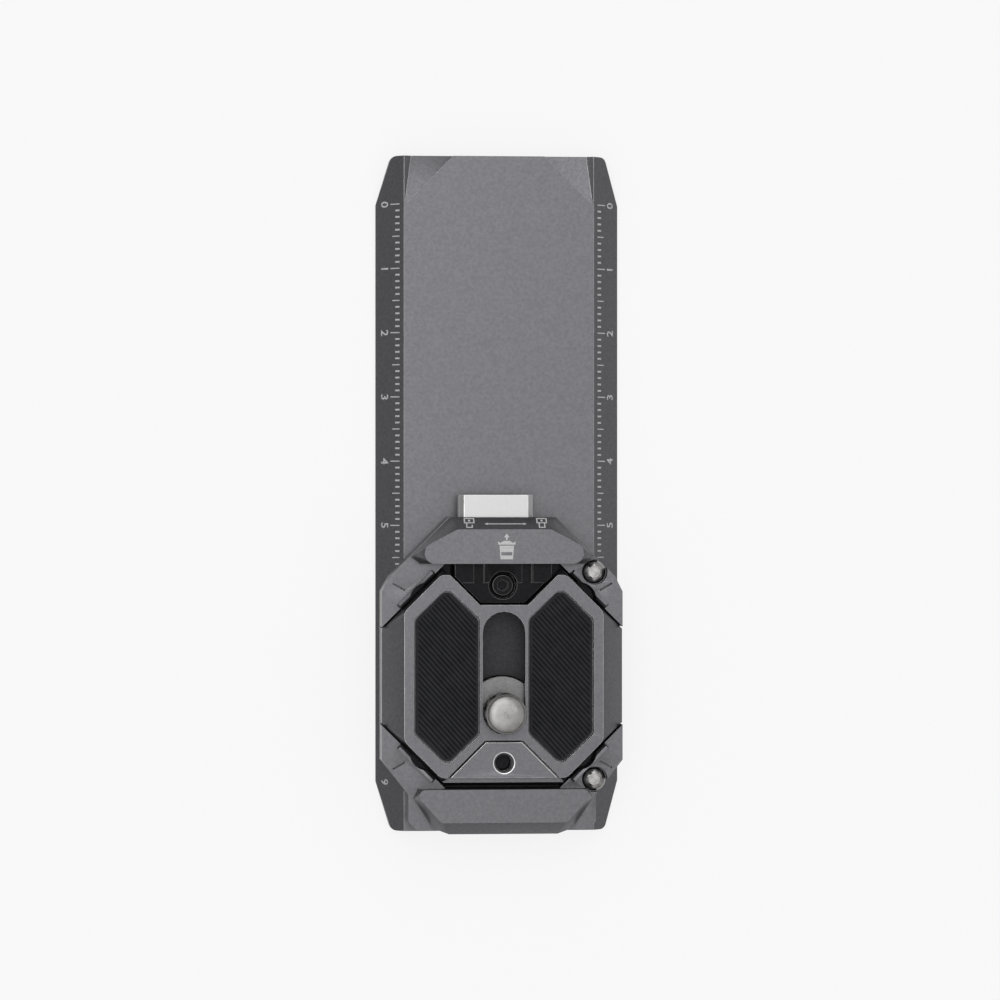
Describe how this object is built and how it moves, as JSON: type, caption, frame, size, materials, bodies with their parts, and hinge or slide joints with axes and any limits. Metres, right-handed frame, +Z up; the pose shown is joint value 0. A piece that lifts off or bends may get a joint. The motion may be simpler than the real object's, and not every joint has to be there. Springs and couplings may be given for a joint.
{
  "type": "camera slide rail with quick release plate",
  "caption": "Flat dovetail slide rail with a scale on both flanks and an octagonal quick-release receiver on its rear half, holding a padded camera plate.",
  "frame": {"origin": "centre of the overall box on the rail's underside", "axes": "+Z up towards the camera, +Y along the rail towards its free front end, where the scale starts, and +X across it"},
  "size_m": [0.038, 0.105, 0.0183],
  "materials": {
    "grey_anodised": "bead-blasted and hard anodised, dark grey, with bright-cut edge breaks",
    "black_steel": "black oxide, fine satin",
    "stainless": "turned stainless steel",
    "satin_silver": "clear anodised, satin silver",
    "spring_steel": "plain drawn wire and strip",
    "pad_rubber": "matte black with fine diagonal ribs"
  },
  "bodies": {
    "base": {"rail": "grey_anodised", "receiver_body": "grey_anodised", "mechanism_cover": "black_steel", "cover_screw_left": "black_steel", "cover_screw_right": "black_steel", "corner_screw_front": "stainless", "corner_screw_rear": "stainless", "rail_screw_rear_left": "black_steel", "rail_screw_rear_right": "black_steel", "rail_screw_front_left": "black_steel", "lock_detent_ball": "stainless", "lock_detent_spring": "spring_steel", "rocker_pin": "stainless", "latch_spring_left": "spring_steel", "latch_spring_right": "spring_steel"},
    "lock": {"lock_shuttle": "black_steel"},
    "button": {"release_button": "satin_silver", "button_clip": "spring_steel"},
    "rocker": {"rocker": "black_steel"},
    "latch": {"latch_slide": "black_steel", "latch_wedge": "black_steel", "latch_screw": "black_steel"},
    "plate": {"camera_plate": "grey_anodised", "rear_key_block": "grey_anodised", "pad_left": "pad_rubber", "pad_right": "pad_rubber"},
    "retainer": {"screw_retainer": "spring_steel"},
    "screw": {"camera_screw": "stainless"}
  },
  "joints": [
    {"name": "lock_slide", "type": "slide", "parent": "base", "child": "lock", "axis": [1, 0, 0], "range_m": [0, 0.0021]},
    {"name": "button_press", "type": "slide", "parent": "lock", "child": "button", "axis": [0, -1, 0], "range_m": [0, 0.001], "stiffness_N_per_m": 1500, "springref_m": -0.0005},
    {"name": "rocker_turn", "type": "hinge", "parent": "base", "child": "rocker", "pos_m": [0, -0.00776, 0.00885], "axis": [1, 0, 0], "range_deg": [0, 25.7]},
    {"name": "latch_draw", "type": "slide", "parent": "base", "child": "latch", "axis": [0, 1, 0], "range_m": [0, 0.001], "deforming": ["latch_spring_left", "latch_spring_right"]},
    {"name": "plate_lift", "type": "slide", "parent": "base", "child": "plate", "axis": [0, 0, 1], "range_m": [0, 0.02]},
    {"name": "screw_run", "type": "slide", "parent": "plate", "child": "retainer", "axis": [0, 1, 0], "range_m": [0, 0.01]},
    {"name": "camera_screw_turn", "type": "hinge", "parent": "retainer", "child": "screw", "pos_m": [0, -0.0338, 0.0074], "axis": [0, 0, 1], "continuous": true}
  ],
  "couplings": [
    {"joint": "rocker_turn", "follows": "button_press", "rad_per_m": 448.19},
    {"joint": "latch_draw", "follows": "button_press", "ratio": 1}
  ]
}
